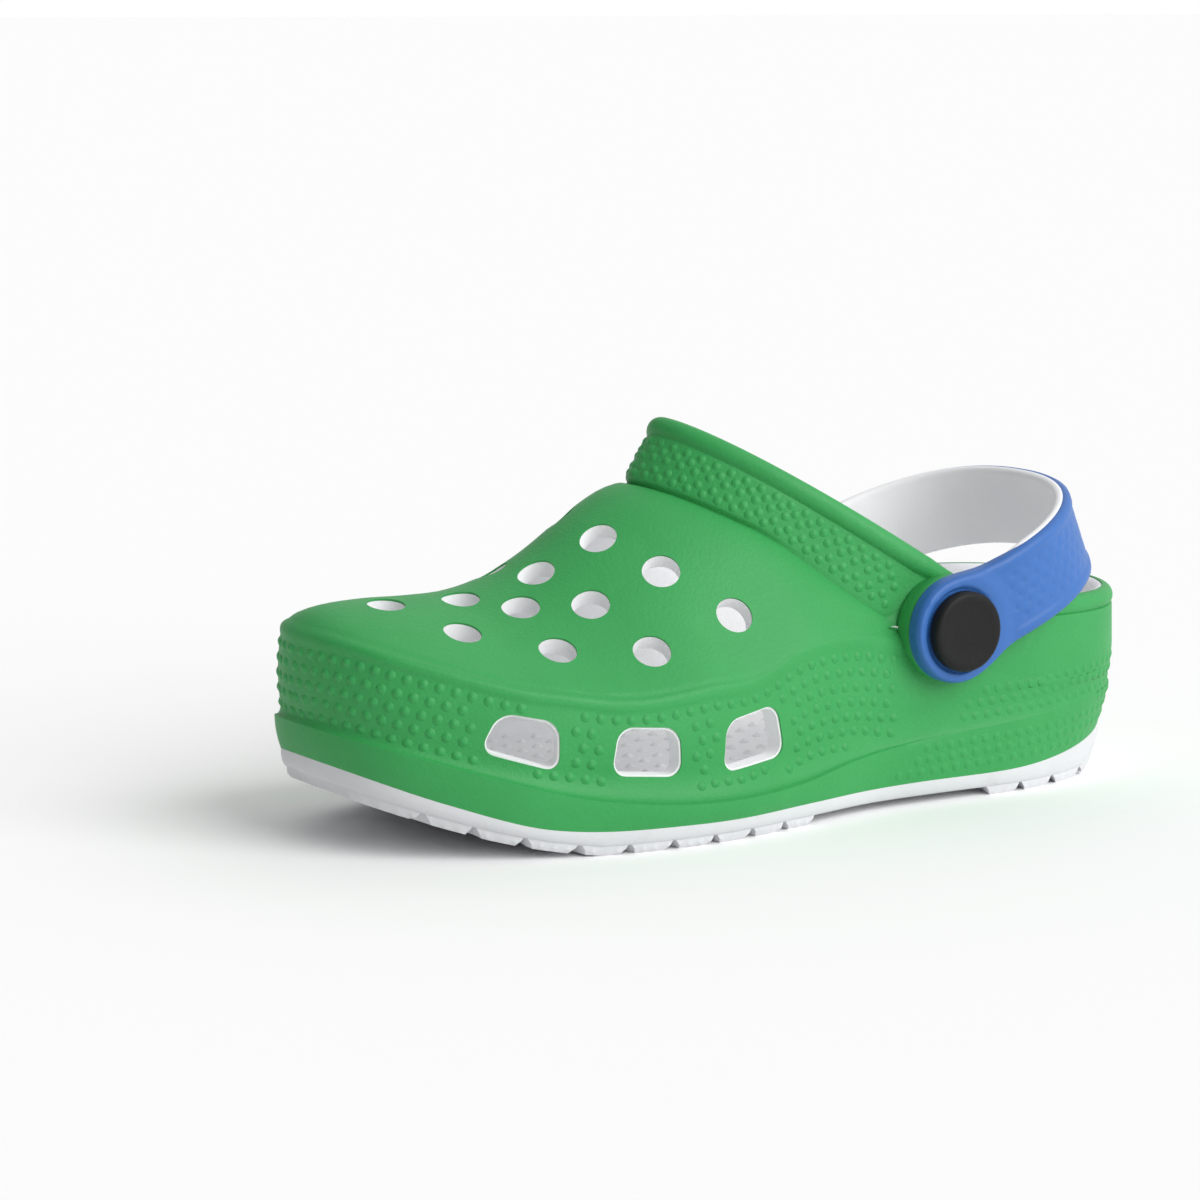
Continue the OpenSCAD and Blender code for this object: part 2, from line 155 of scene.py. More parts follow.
def rimInward(p):
    c = unit(np.array([-3.0, 42.0]) - p[..., :2])
    front = c[..., 1] > 0
    return np.stack([c[..., 0], np.where(front, 0.8, 1) * c[..., 1],
                     np.where(front, -0.6, 0) * c[..., 1]], -1)


def withZ(p, z):
    return np.concatenate([p, np.broadcast_to(z, p.shape[:-1])[..., None]], -1)


# Mesh steps that the pieces share
def selectOnly(piece):
    bpy.ops.object.select_all(action="DESELECT")
    piece.select_set(True)
    bpy.context.view_layer.objects.active = piece


def inFrame(x, y, z):
    return ((x + boxShift) * mm, y * mm, z * mm)


def setPoints(piece, points):
    places = np.asarray(points, float).reshape(-1, 3) * mm
    places[:, 0] += boxShift * mm
    piece.data.vertices.foreach_set("co", places.ravel())
    piece.data.update()


def faceOutward(piece, closeEnds=False):
    selectOnly(piece)
    bpy.ops.object.mode_set(mode="EDIT")
    if closeEnds:
        bpy.ops.mesh.select_all(action="DESELECT")
        bpy.ops.mesh.select_non_manifold()
        bpy.ops.mesh.edge_face_add()
    bpy.ops.mesh.select_all(action="SELECT")
    bpy.ops.mesh.remove_doubles(threshold=0.004 * mm)
    bpy.ops.mesh.normals_make_consistent(inside=False)
    bpy.ops.object.mode_set(mode="OBJECT")


def sheetPiece(name, rows, smooth=40):
    rows = np.asarray(rows, float)
    count, around = rows.shape[:2]
    bpy.ops.mesh.primitive_grid_add(x_subdivisions=around - 1, y_subdivisions=count - 1, size=1)
    piece = bpy.context.object
    piece.name = name
    setPoints(piece, rows)
    faceOutward(piece)
    bpy.ops.object.shade_smooth_by_angle(angle=math.radians(smooth))
    bpy.ops.object.select_all(action="DESELECT")
    return piece


def joinPieces(name, parts):
    bpy.ops.object.select_all(action="DESELECT")
    for part in parts:
        part.select_set(True)
    bpy.context.view_layer.objects.active = parts[0]
    if len(parts) > 1:
        bpy.ops.object.join()
    piece = bpy.context.object
    piece.name = name
    bpy.ops.object.select_all(action="DESELECT")
    return piece


def settle(piece):
    selectOnly(piece)
    bpy.ops.object.transform_apply(location=True, rotation=True, scale=True)
    bpy.ops.object.select_all(action="DESELECT")


def cutWith(piece, cutter, operation="DIFFERENCE"):
    selectOnly(piece)
    cut = piece.modifiers.new("cut", "BOOLEAN")
    cut.operation, cut.solver, cut.object = operation, "MANIFOLD", cutter
    bpy.ops.object.modifier_apply(modifier=cut.name)
    bpy.ops.object.shade_smooth_by_angle(angle=math.radians(40))
    bpy.ops.object.select_all(action="DESELECT")


def discard(piece):
    bpy.data.objects.remove(piece, do_unlink=True)


def finishPiece(piece, body, slotName, material, *nodes):
    piece.data.materials.clear()
    piece.data.materials.append(material)
    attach(piece, body)
    if nodes:
        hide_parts(*nodes)
    return piece


# One small dome, copied to many places
def nubField(name, places, normals, radius, height, segments=8):
    bpy.ops.mesh.primitive_uv_sphere_add(segments=segments, ring_count=8, radius=1)
    template = bpy.context.object
    count = len(template.data.vertices)
    co = np.empty(count * 3)
    template.data.vertices.foreach_get("co", co)
    co = co.reshape(-1, 3)
    share = 1 - np.abs(np.arcsin(np.clip(co[:, 2], -1, 1))) / (math.pi / 2)  # 0 at a pole, 1 at the rim
    co[:, :2] = unit(co[:, :2]) * share[:, None]
    dome = 0.5 + 0.5 * np.cos(math.pi * np.minimum(share, 0.8)) - 0.04
    co[:, 2] = np.where(co[:, 2] < -0.01, -1.2, np.where(share > 0.9, -0.7, dome))
    faces = [tuple(f.vertices) for f in template.data.polygons]
    discard(template)
    places, normals = np.asarray(places), unit(np.asarray(normals))
    radius = np.broadcast_to(radius, len(places))[:, None, None]
    height = np.broadcast_to(height, len(places))[:, None, None]
    side = unit(np.cross(normals, [0.31, 0.17, 0.93]))
    other = np.cross(normals, side)
    flatPart = co[None, :, :1] * side[:, None] + co[None, :, 1:2] * other[:, None]
    points = places[:, None, :] + radius * flatPart + height * co[None, :, 2:] * normals[:, None]
    mesh = bpy.data.meshes.new(name)
    allFaces = [tuple(v + k * count for v in f) for k in range(len(places)) for f in faces]
    mesh.from_pydata(points.reshape(-1, 3).tolist(), [], allFaces)
    piece = bpy.data.objects.new(name, mesh)
    setPoints(piece, points)
    bpy.context.collection.objects.link(piece)
    selectOnly(piece)
    bpy.ops.object.shade_smooth()
    bpy.ops.object.select_all(action="DESELECT")
    return piece


# Shader groups
def newGroup(name, inputs, outputs):
    group = bpy.data.node_groups.new(name, "ShaderNodeTree")
    for label, kind, value in inputs:
        socket = group.interface.new_socket(name=label, in_out="INPUT", socket_type=kind)
        socket.default_value = value
    for label, kind in outputs:
        group.interface.new_socket(name=label, in_out="OUTPUT", socket_type=kind)
    return group, group.nodes.new("NodeGroupInput"), group.nodes.new("NodeGroupOutput")


def addNode(tree, kind, values=None, **settings):
    node = tree.nodes.new(kind)
    for key, value in settings.items():
        setattr(node, key, value)
    for key, value in (values or {}).items():
        node.inputs[key].default_value = value
    return node


# Pebbled skin of moulded foam: fine cells, with a slower swell beneath them
def makeGrain():
    group, start, end = newGroup("mouldedGrain", [("Vector", "NodeSocketVector", (0, 0, 0)),
                                                  ("Cells", "NodeSocketFloat", 1500.0),
                                                  ("Swell", "NodeSocketFloat", 90.0)],
                                 [("Height", "NodeSocketFloat")])
    cells = addNode(group, "ShaderNodeTexVoronoi", {"Randomness": 1.0}, feature="SMOOTH_F1")
    swell = addNode(group, "ShaderNodeTexNoise", {"Detail": 3.0, "Roughness": 0.55})
    speck = addNode(group, "ShaderNodeTexNoise", {"Scale": 3200.0, "Detail": 2.0})
    first = addNode(group, "ShaderNodeMath", {1: 0.55}, operation="MULTIPLY")
    second = addNode(group, "ShaderNodeMath", {1: 0.9}, operation="MULTIPLY_ADD")
    third = addNode(group, "ShaderNodeMath", {1: 0.35}, operation="MULTIPLY_ADD")
    link = group.links.new
    for node in (cells, swell, speck):
        link(start.outputs["Vector"], node.inputs["Vector"])
    link(start.outputs["Cells"], cells.inputs["Scale"])
    link(start.outputs["Swell"], swell.inputs["Scale"])
    link(cells.outputs["Distance"], first.inputs[0])
    link(swell.outputs["Fac"], second.inputs[0])
    link(first.outputs[0], second.inputs[2])
    link(speck.outputs["Fac"], third.inputs[0])
    link(second.outputs[0], third.inputs[2])
    link(third.outputs[0], end.inputs["Height"])
    return group


# Two close shades drifting over the surface, with faint dust in the hollows of a noise
def makeShades():
    group, start, end = newGroup("handledShades", [("Vector", "NodeSocketVector", (0, 0, 0)),
                                                   ("Main", "NodeSocketColor", (1, 1, 1, 1)),
                                                   ("Second", "NodeSocketColor", (1, 1, 1, 1)),
                                                   ("Scuffed", "NodeSocketColor", (1, 1, 1, 1)),
                                                   ("Scuff", "NodeSocketFloat", 0.2)],
                                 [("Color", "NodeSocketColor"), ("Mask", "NodeSocketFloat")])
    drift = addNode(group, "ShaderNodeTexNoise", {"Scale": 28.0, "Detail": 4.0, "Roughness": 0.5})
    marks = addNode(group, "ShaderNodeTexNoise", {"Scale": 160.0, "Detail": 6.0, "Roughness": 0.7})
    driftRamp = addNode(group, "ShaderNodeMapRange", {"From Min": 0.35, "From Max": 0.65})
    marksRamp = addNode(group, "ShaderNodeMapRange", {"From Min": 0.56, "From Max": 0.74})
    first = addNode(group, "ShaderNodeMix", data_type="RGBA")
    scuffShare = addNode(group, "ShaderNodeMath", operation="MULTIPLY")
    second = addNode(group, "ShaderNodeMix", data_type="RGBA")
    link = group.links.new
    for node in (drift, marks):
        link(start.outputs["Vector"], node.inputs["Vector"])
    link(drift.outputs["Fac"], driftRamp.inputs["Value"])
    link(marks.outputs["Fac"], marksRamp.inputs["Value"])
    link(driftRamp.outputs[0], first.inputs[0])
    link(start.outputs["Main"], first.inputs[6])
    link(start.outputs["Second"], first.inputs[7])
    link(marksRamp.outputs[0], scuffShare.inputs[0])
    link(start.outputs["Scuff"], scuffShare.inputs[1])
    link(scuffShare.outputs[0], second.inputs[0])
    link(first.outputs[2], second.inputs[6])
    link(start.outputs["Scuffed"], second.inputs[7])
    link(second.outputs[2], end.inputs["Color"])
    link(scuffShare.outputs[0], end.inputs["Mask"])
    return group


grainGroup, shadesGroup = makeGrain(), makeShades()


def linear(red, green, blue):
    def one(v):
        v /= 255
        return v / 12.92 if v <= 0.04045 else ((v + 0.055) / 1.055) ** 2.4
    return (one(red), one(green), one(blue), 1.0)


def foamMaterial(name, look):
    material = bpy.data.materials.new(name)
    material.use_nodes = True
    tree = material.node_tree
    shader = tree.nodes["Principled BSDF"]
    place = tree.nodes.new("ShaderNodeTexCoord")
    shades = addNode(tree, "ShaderNodeGroup", node_tree=shadesGroup)
    shades.inputs["Main"].default_value = linear(*look["main"])
    shades.inputs["Second"].default_value = linear(*look["second"])
    shades.inputs["Scuffed"].default_value = linear(*look["scuffed"])
    shades.inputs["Scuff"].default_value = look["scuff"]
    grain = addNode(tree, "ShaderNodeGroup", node_tree=grainGroup)
    grain.inputs["Cells"].default_value = look["cells"]
    rough = addNode(tree, "ShaderNodeMapRange", {
        "From Min": 0.4, "From Max": 1.3, "To Min": look["rough"] - 0.07, "To Max": look["rough"] + 0.07})
    bump = addNode(tree, "ShaderNodeBump", {"Strength": look["bump"], "Distance": 0.0002})
    link = tree.links.new
    link(place.outputs["Object"], shades.inputs["Vector"])
    link(place.outputs["Object"], grain.inputs["Vector"])
    link(shades.outputs["Color"], shader.inputs["Base Color"])
    link(grain.outputs["Height"], rough.inputs["Value"])
    link(rough.outputs[0], shader.inputs["Roughness"])
    link(grain.outputs["Height"], bump.inputs["Height"])
    link(bump.outputs["Normal"], shader.inputs["Normal"])
    shader.inputs["Specular IOR Level"].default_value = look["shine"]
    # A faint white emission: painted light, making the surface glow though it is no lamp
    shader.inputs["Emission Color"].default_value = (1, 1, 1, 1)
    shader.inputs["Emission Strength"].default_value = look["paintedGlow"]
    return material


looks = dict(
    upper=dict(main=(55, 157, 83), second=(49, 150, 77), scuffed=(72, 169, 98), scuff=0.2,
               cells=1500.0, rough=0.52, bump=0.55, shine=0.36, paintedGlow=0.0),
    # The white foam's emission is painted light that brightens it
    foam=dict(main=(240, 240, 241), second=(233, 234, 236), scuffed=(222, 221, 217), scuff=0.15,
              cells=1900.0, rough=0.55, bump=0.2, shine=0.35, paintedGlow=0.05),
    # The outsole's white is set greyer than the foam's white: painted shade, standing in for the shade on the
    # sole's side
    tread=dict(main=(214, 215, 218), second=(206, 207, 210), scuffed=(190, 189, 185), scuff=0.3,
               cells=1200.0, rough=0.6, bump=0.3, shine=0.3, paintedGlow=0.0),
    strap=dict(main=(53, 106, 178), second=(48, 100, 171), scuffed=(70, 122, 190), scuff=0.16,
               cells=1500.0, rough=0.46, bump=0.25, shine=0.45, paintedGlow=0.0),
    button=dict(main=(27, 27, 28), second=(23, 23, 24), scuffed=(46, 46, 48), scuff=0.3,
                cells=2400.0, rough=0.5, bump=0.2, shine=0.2, paintedGlow=0.0),
)
greenFoam = foamMaterial("greenFoam", looks["upper"])
whiteFoam = foamMaterial("whiteFoam", looks["foam"])
whiteTread = foamMaterial("whiteTread", looks["tread"])
blueStrap = foamMaterial("blueStrap", looks["strap"])
blackButton = foamMaterial("blackButton", looks["button"])
print("materials made")

# Upper: a thin green skin over white foam
upper = dict(skin=0.4, wall=4.0, ledgeStep=0.42, bandBulge=0.45, lipHeight=0.28, lipHalf=1.9,
             heelLean=2.2, grooveDepth=0.6, grooveHalf=0.8, bandLift=0.4, beadRadius=2.3, beadWrap=1.2,
             skinEnd=93)


def wallMeasures(angle, depth=0.0):
    p = outlinePoint(angle)
    y = p[..., 1]
    m = dict(p=p, y=y, inward=inwardFrom(p), base=alongTable(soleLine, y), ledge=alongTable(ledgeLine, y),
             inset=alongTable(wallInset, y), heel=heelShare(y))
    m["corner"] = p + m["inward"] * (m["inset"] + depth)[..., None]
    steep = 1 / vampNormal(m["corner"])[..., 2]
    m["cornerZ"] = mix(vampHeight(m["corner"]) - depth * steep, rimHeight(y) - 14, m["heel"])
    m["low"] = np.minimum(m["ledge"] + alongTable(filletRise, y), m["cornerZ"] - 5.3)
    return m


def groovePoint(angle):
    p = outlinePoint(angle)
    h = heelShare(p[..., 1])[..., None]
    g = openingPoint(angle, *opening["groove"])
    q = p + inwardFrom(p)
    return mix(withZ(g, vampHeight(g)), withZ(q, rimHeight(p[..., 1]) - 4.5), h)


def rimPoint(angle):
    p = outlinePoint(angle)
    h = heelShare(p[..., 1])[..., None]
    r = openingPoint(angle, *opening["rim"])
    q = p + inwardFrom(p) * 1.8
    return mix(withZ(r, rimHeight(r[..., 1])), withZ(q, rimHeight(p[..., 1])), h)


def domePoint(m, g, v, depth=0.0):
    q = mix(m["corner"], g[..., :2], v[..., None])
    steep = 1 / vampNormal(q)[..., 2]
    flank = mix(vampHeight(q) - depth * steep, g[..., 2], v ** 6)
    return withZ(q, mix(flank, mix(m["cornerZ"], g[..., 2], v), m["heel"]))


def softened(x, radius):
    return (x + np.sqrt(x * x + radius * radius)) / 2


def buildOuter(angle):
    m = wallMeasures(angle)
    g, r = groovePoint(angle), rimPoint(angle)
    rows, marks = [], {}

    def lower(offset, z):
        rows.append(withZ(m["p"] + m["inward"] * np.broadcast_to(offset, angle.shape)[..., None], z))

    for t in np.linspace(0, 1, 9):  # foam side below the ledge
        lower(1.2 * (1 - t) ** 2, mix(m["base"], m["ledge"], t))
    ledgeStep = upper["ledgeStep"] * (1 - ease(16, 46, m["y"]))
    lower(0.35 * ledgeStep, m["ledge"] + 0.12)
    for turn in np.radians([8, 20, 34, 48, 62, 76, 90]):  # hollow above the ledge
        lower(ledgeStep + (m["inset"] - ledgeStep) * math.sin(turn),
              mix(m["ledge"], m["low"], 1 - math.cos(turn)) + 0.2 * math.cos(turn))
    bandTop = m["cornerZ"] - 3.4
    for t in np.linspace(0, 1, 14)[1:]:
        bulge = upper["bandBulge"] * 4 * t * (1 - t) * (1 - 0.7 * m["heel"])
        lower(m["inset"] - bulge, mix(m["low"], bandTop, t))
    marks["band"] = len(rows)

    # rounded lip where the band meets the vamp
    reach = np.linalg.norm(g[..., :2] - m["corner"], axis=-1)
    step = np.clip(3.0 / reach, 0, 0.5)
    cornerPoint = withZ(m["corner"], m["cornerZ"])
    ahead = unit(domePoint(m, g, step) - cornerPoint)
    outward = withZ(-m["inward"], 0.0)
    across = unit(np.cross(ahead, unit(np.cross(ahead, outward))))
    across *= np.sign(np.sum(across * outward, -1, keepdims=True) + 1e-9)
    lipNormal = unit(outward + across)
    toeFade = mix(0.35, 1, ease(0, 26, np.minimum(angle, 360 - angle)))
    backFade = mix(1, 0.3, ease(-46, -6, m["y"]))
    lipSize = (upper["lipHeight"] * (1 - m["heel"]) * toeFade * backFade)[..., None]
    turnRadius = 1.1
    for s in (-2.7, -2.1, -1.7, -1.4, -1.1, -0.75, -0.35, 0.0, 0.35, 0.75, 1.1, 1.4, 1.7, 2.1, 2.7, 3.4):
        hollow = 0.22 * math.exp(-((abs(s) - 1.8) / 0.5) ** 2) if abs(s) > upper["lipHalf"] else 0
        swell = math.sqrt(max(1 - (s / upper["lipHalf"]) ** 2, 0)) - hollow
        rows.append(cornerPoint + [0, 0, -1] * softened(np.full(angle.shape, -s), turnRadius)[..., None]
                    + ahead * softened(np.full(angle.shape, s), turnRadius)[..., None]
                    + lipNormal * lipSize * swell)

    # vamp up to the groove
    length = np.linalg.norm(g - cornerPoint, axis=-1)
    startV = np.clip(3.9 / length, 0, 0.6)
    endV = 1 - np.clip(2.6 / length, 0, 0.2)
    inwardRim = rimInward(g)
    along = unit(r - g)
    normal = -unit(inwardRim - np.sum(inwardRim * along, -1, keepdims=True) * along)
    nearLobe = mix(1, 0.1, ease(-6, 9, g[..., 1]))  # the band dies away beside the strap
    grooveDepth = upper["grooveDepth"] * mix(1, 0.08, m["heel"]) * nearLobe
    for t in np.linspace(0, 1, 34):
        rows.append(domePoint(m, g, mix(startV, endV, t)))
    for d in (2.0, 1.5, 1.1, 0.75, 0.4, 0.0):
        dip = grooveDepth * math.exp(-(d / upper["grooveHalf"]) ** 2)
        rows.append(domePoint(m, g, 1 - np.clip(d / length, 0, 0.19)) - normal * dip[..., None])

    # raised band of the collar, and the rolled rim
    span = np.linalg.norm(r - g, axis=-1)
    radius = upper["beadRadius"]
    lift = upper["bandLift"] * (1 - m["heel"]) * nearLobe
    bandEnd = np.maximum(span - 1.9 * radius, 0.3)
    centreN = mix(-1.0, -1.75, m["heel"])

    def collar(s, n):
        s, n = (np.broadcast_to(v, angle.shape)[..., None] for v in (s, n))
        rows.append(g + along * s + normal * n)

    full = ease(4, 9, span)
    collar(0.3 * full + 0.05, -0.7 * grooveDepth)
    collar(0.55 * full + 0.08, 0.05 * lift)
    collar(0.8 * full + 0.1, 0.62 * lift)
    collar(1.05 * full + 0.12, 0.92 * lift)
    marks["collarStart"] = len(rows)
    startS = 1.35 * full + 0.14
    for t in np.linspace(0, 1, 12):
        collar(mix(startS, np.maximum(bandEnd - 0.7, startS + 0.05), t),
               lift * (1 + 0.3 * math.sin(math.pi * t)))
    marks["collarEnd"] = len(rows)
    collar(np.maximum(bandEnd - 0.35, startS + 0.08), 0.85 * lift)
    collar(np.maximum(bandEnd - 0.05, startS + 0.1), 0.55 * lift)
    beadS = np.maximum(span - radius, startS + 0.3 + radius * 0.8)
    for turn in np.radians(np.linspace(-52, 178, 23)):
        if turn < math.radians(upper["skinEnd"]):
            marks["skinEnd"] = len(rows) + 1
        collar(beadS + radius * math.sin(turn), centreN + radius * math.cos(turn))
    collar(beadS - upper["beadWrap"], centreN - radius - 0.05)
    return np.array(rows), marks, dict(m=m, g=g, along=along, normal=normal, beadS=beadS)


def gridNormals(rows):
    around = np.roll(rows[:, :-1], -1, 1) - np.roll(rows[:, :-1], 1, 1)
    around = np.concatenate([around, around[:, :1]], 1)
    up = np.gradient(rows, axis=0)
    return unit(np.cross(around, up))


# The heel's wall leans out towards its rim
def leanHeel(rows, low, high):
    y = outlinePoint(stationAngles)[:, 1]
    lean = upper["heelLean"] * ease(64, 92, y) * ease(low, high, rows[..., 2])
    rows[..., :2] -= inwardFrom(outlinePoint(stationAngles)) * lean[..., None]
    return rows


outer, marks, rim = buildOuter(stationAngles)
outer = leanHeel(outer, 12, 28)
outerNormals = gridNormals(outer)
print("upper surface", outer.shape)


def innerRows(angle):
    m = wallMeasures(angle, upper["wall"])
    wallInside = m["p"] + m["inward"] * (m["inset"] + upper["wall"])[..., None]
    g = rim["g"] - rim["normal"] * upper["wall"]
    rows = []
    for s in (1.0, 0.72, 0.45, 0.2):  # inside of the collar, coming down
        rows.append(rim["g"] + rim["along"] * ((rim["beadS"] - upper["beadWrap"]) * s)[..., None]
                    - rim["normal"] * (upper["wall"] - (0.1 if s == 1.0 else 0)))
    for t in np.linspace(0.98, 0, 26):
        rows.append(domePoint(m, g, np.full(angle.shape, t), upper["wall"]))
    top = rows[-1][..., 2]
    for t in (0.15, 0.35, 0.6, 0.8, 1.0):
        rows.append(withZ(wallInside, mix(top, m["base"], t)))
    return np.array(rows)


skinPart, skinNormals = outer[:marks["skinEnd"]], outerNormals[:marks["skinEnd"]]
skinRows = np.concatenate([skinPart, (skinPart - skinNormals * upper["skin"])[::-1], skinPart[:1]])
upperSkin = sheetPiece("upperSkin", skinRows)
inside = leanHeel(innerRows(stationAngles), 20, 34)
# Beside the strap the band folds sharply, so the foam keeps further from the skin there
deeper = 0.45 * (1 - ease(15, 19, np.hypot(outer[..., 1] - pivot["y"], outer[..., 2] - pivot["z"])))
deeper[marks["collarEnd"]:] = 0
linerOuter = outer - outerNormals * (upper["skin"] + 0.02 + deeper)[..., None]
bare = slice(marks["skinEnd"], None)  # past the skin's edge the foam itself is the surface
linerOuter[bare] = outer[bare] - outerNormals[bare] * 0.05
linerRows = np.concatenate([linerOuter, inside, linerOuter[:1]])
foamLiner = sheetPiece("foamLiner", linerRows)
print("skin and liner")

# Holes in the vamp, at places in plan, and vents in the side walls
vampHoles = [[5, -31], [2.5, -44.5], [1, -61.5], [9.5, -52.5], [16, -40], [18, -24.5], [29, -14],
             [29.5, -34], [23, -52], [14, -68.5], [0, -78], [-9, -48.5], [-10, -30], [-13, -65.5]]
holeCut = dict(diameter=7.8, above=2.5, skinBelow=2.0, linerBelow=7.0)
# Each vent: place along Y, middle height, width, turn about Z, and its four corners as shifts
# (towards the heel, up) from a plain rectangle: upper heel, upper toe, lower toe, lower heel
vents = [dict(y=-66.3, z=23.9, w=16.4, turn=-20,
              corners=[(-0.9, -1.5), (3.4, 1.0), (-0.6, 3.2), (-0.9, -1.6)]),
         dict(y=-40.4, z=19.6, w=16.2, turn=-5,
              corners=[(-1.2, -0.2), (1.5, 1.0), (0, 1.2), (-0.5, -0.3)]),
         dict(y=-14.1, z=20.2, w=16.6, turn=8,
              corners=[(-2.6, 1.5), (0.4, -0.7), (0, -1.3), (0.1, 0.3)])]
medialVents = [dict(y=-65, z=24.5, w=15.4, turn=22, corners=vents[0]["corners"]),
               dict(y=-41, z=21, w=14.8, turn=8, corners=vents[1]["corners"]),
               dict(y=-14.5, z=21, w=15.6, turn=-10, corners=vents[2]["corners"])]
ventSize = dict(height=10.0, corner=3.3, rim=0.4)


def ventFrame(vent, side):
    a = math.degrees(math.acos(-vent["y"] / halfLength))
    edge = outlinePoint(np.array(a if side > 0 else 360 - a))
    turn = math.radians(vent["turn"])
    forward = np.array([-math.sin(turn), math.cos(turn), 0])
    outward = np.array([math.cos(turn), math.sin(turn), 0]) * side
    return np.array([edge[0], edge[1], vent["z"]]), forward, outward


def ventCutter(vent, side, grow, depthIn, depthOut=8.0):
    origin, forward, outward = ventFrame(vent, side)
    bpy.ops.mesh.primitive_cube_add(size=2)
    cutter = bpy.context.object
    w, h = vent["w"] / 2 + grow, ventSize["height"] / 2 + grow
    signs = [(1, 1), (-1, 1), (-1, -1), (1, -1)]
    for vertex in cutter.data.vertices:
        sign = (round(vertex.co.y), round(vertex.co.z))
        shift = vent["corners"][signs.index(sign)]
        u, v = sign[0] * w + shift[0], sign[1] * h + shift[1]
        vertex.co = Vector((depthOut if vertex.co.x > 0 else -depthIn, u, v))
    bpy.ops.object.mode_set(mode="EDIT")
    bpy.ops.mesh.select_all(action="DESELECT")
    bpy.ops.object.mode_set(mode="OBJECT")
    for edge in cutter.data.edges:
        a, b = (cutter.data.vertices[k].co for k in edge.vertices)
        edge.select = abs(a.x - b.x) > 1
    bpy.ops.object.mode_set(mode="EDIT")
    bpy.ops.mesh.bevel(offset=ventSize["corner"] + grow * 0.6, offset_type="OFFSET", segments=7, profile=0.5)
    bpy.ops.object.mode_set(mode="OBJECT")
    co = np.array([list(v.co) for v in cutter.data.vertices])
    setPoints(cutter, origin + co @ np.array([outward, forward, [0, 0, 1.0]]))
    faceOutward(cutter)
    return cutter


def holeCutter(place, below):
    p = np.array(place, float)
    n = vampNormal(p)
    top = withZ(p, vampHeight(p))
    middle = top + n * (holeCut["above"] - below) / 2
    bpy.ops.mesh.primitive_cylinder_add(
        vertices=40, radius=holeCut["diameter"] / 2 * mm, depth=(holeCut["above"] + below) * mm,
        location=inFrame(*middle),
        rotation=Vector(n).to_track_quat("Z", "Y").to_euler())
    cutter = bpy.context.object
    settle(cutter)
    return cutter


def boreCutter(radius):
    bores = []
    for x in (pivot["lateralFace"], pivot["medialFace"]):
        bpy.ops.mesh.primitive_cylinder_add(vertices=32, radius=radius * mm, depth=24 * mm,
                                            location=inFrame(x, pivot["y"], pivot["z"]),
                                            rotation=(0, math.pi / 2, 0))
        bores.append(bpy.context.object)
        settle(bores[-1])
    return bores


# Each cutter keeps clear of its neighbours, so one join of them makes a clean cut
def openUp(piece, below, grow, ventDepth):
    parts = [holeCutter(p, below) for p in vampHoles] + boreCutter(3.0)
    for side, group in ((1, vents), (-1, medialVents)):
        parts += [ventCutter(vent, side, grow, ventDepth) for vent in group]
    cutter = joinPieces("openings", parts)
    cutWith(piece, cutter)
    discard(cutter)


openUp(upperSkin, holeCut["skinBelow"], 0.0, 8.0)
openUp(foamLiner, holeCut["linerBelow"], -ventSize["rim"], 12.0)
finishPiece(upperSkin, "root", "upper_colour", greenFoam, "outer_skin")
finishPiece(foamLiner, "root", "inner_foam", whiteFoam, "inner_shell")
print("holes and vents cut")

# Raised nubs of the band, the collar and the heel
nubs = dict(pitch=3.3, rowStep=3.1, radius=1.4, height=0.42, ventMargin=1.5, padMargin=2.0,
            collarPitch=3.5, collarRadius=1.25, collarHeight=0.34,
            heelPitch=3.0, heelRowStep=2.55, heelRadius=1.35, heelHeight=0.24, heelTop=24.2)


def walkAlong(points, normals, pitch, shift):
    lengths = np.concatenate([[0], np.cumsum(np.linalg.norm(np.diff(points, axis=0), axis=-1))])
    stops = np.arange(shift * pitch, lengths[-1], pitch)
    return (np.stack([np.interp(stops, lengths, points[:, k]) for k in range(3)], -1),
            np.stack([np.interp(stops, lengths, normals[:, k]) for k in range(3)], -1))


def levelLine(heights, first, last):
    places, normals = [], []
    for k in range(len(stationAngles)):
        column, directions = outer[first:last, k], outerNormals[first:last, k]
        places.append([np.interp(heights[k], column[:, 2], column[:, axis]) for axis in range(3)])
        normals.append([np.interp(heights[k], column[:, 2], directions[:, axis]) for axis in range(3)])
    return np.array(places), np.array(normals)


def clearOfVents(p, margin):
    keep = np.ones(len(p), bool)
    for side, group in ((1, vents), (-1, medialVents)):
        for vent in group:
            origin, forward, outward = ventFrame(vent, side)
            d = p - origin
            u, v = d @ forward, d[:, 2]
            near = (np.abs(u) < vent["w"] / 2 + margin) & (np.abs(v) < ventSize["height"] / 2 + margin)
            keep &= ~(near & (d @ outward > -12))
    return keep


def clearOfPad(p):
    return np.hypot(p[:, 1] - pivot["y"], p[:, 2] - pivot["z"]) > pivot["bossRadius"] + nubs["padMargin"]


bandNubs, collarNubs, heelNubs = [], [], []
m = rim["m"]
for row in range(8):
    heights = m["cornerZ"] - 3.6 - nubs["rowStep"] * row
    line, directions = levelLine(heights, 9, marks["band"] + 3)
    p, n = walkAlong(line, directions, nubs["pitch"], 0.5 * (row % 2))
    floorZ = alongTable(ledgeLine, p[:, 1]) + mix(1.9, 3.0, ease(-80, -50, p[:, 1]))
    keep = (p[:, 2] > floorZ) & clearOfVents(p, nubs["ventMargin"]) & (p[:, 1] < 24) & clearOfPad(p)
    bandNubs.append((p[keep], n[keep]))
for row in range(5):
    k = int(round(mix(marks["collarStart"] + 0.6, marks["collarEnd"] - 1.6, row / 4)))
    p, n = walkAlong(outer[k], outerNormals[k], nubs["collarPitch"], 0.5 * (row % 2))
    keep = (p[:, 1] < 26) & clearOfPad(p)
    collarNubs.append((p[keep], n[keep]))
heelTilt = alongTable([[20, -2], [60, -0.5], [98, 1.5]], m["y"])
